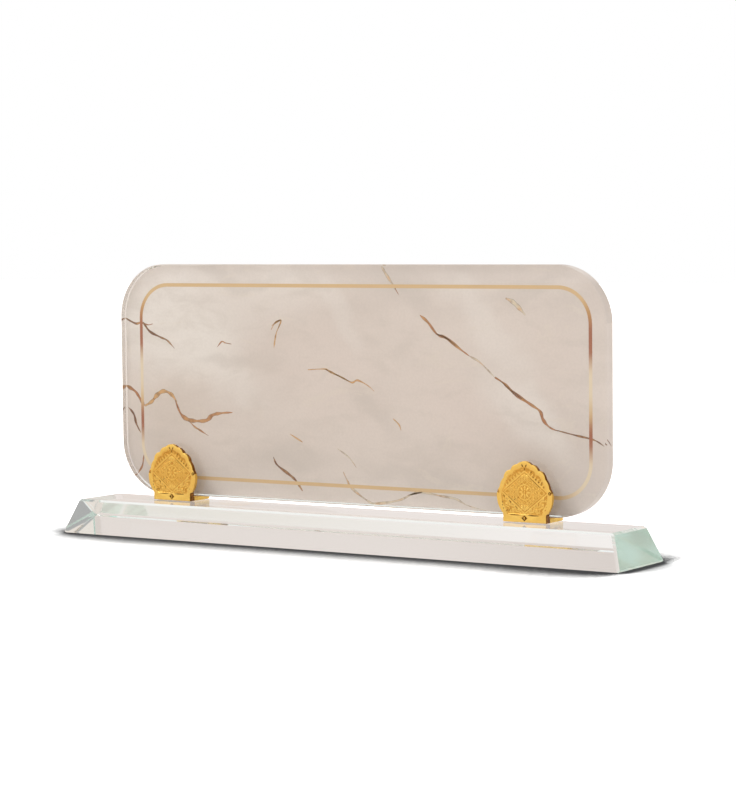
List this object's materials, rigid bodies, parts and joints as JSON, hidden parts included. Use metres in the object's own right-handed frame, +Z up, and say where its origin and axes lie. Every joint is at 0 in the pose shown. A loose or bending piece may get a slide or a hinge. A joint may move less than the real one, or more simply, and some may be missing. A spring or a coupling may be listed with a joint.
{
  "type": "desk name plate",
  "caption": "Free-standing desk name plate: a bare marble-printed clear glass panel with round corners, held upright on a sloped glass bar by ornamental gold clamps.",
  "frame": {"origin": "centre of the glass bar's underside", "axes": "+X along the bar, to the right as one reads the panel; +Y from the panel's front to its back; +Z up"},
  "size_m": [0.2844, 0.0398, 0.1214],
  "materials": {
    "bar_glass": "polished clear glass with a faint green edge",
    "panel_glass": "polished clear float glass",
    "print": "printed warm grey marble with gold veins and a gold border line",
    "gold": "cast relief, gold plated, satin",
    "soft_pad": "clear soft silicone",
    "bond": "clear adhesive gel"
  },
  "bodies": {
    "stand": {"glass_base": "bar_glass", "left_clamp": "gold", "right_clamp": "gold", "left_front_cushion": "soft_pad", "left_back_cushion": "soft_pad", "right_front_cushion": "soft_pad", "right_back_cushion": "soft_pad", "left_bond_pad": "bond", "right_bond_pad": "bond"},
    "plate": {"name_panel": "panel_glass", "marble_print": "print"}
  },
  "joints": [
    {"name": "plate_lift", "type": "slide", "parent": "stand", "child": "plate", "axis": [0, 0, 1], "range_m": [0, 0.03]}
  ]
}
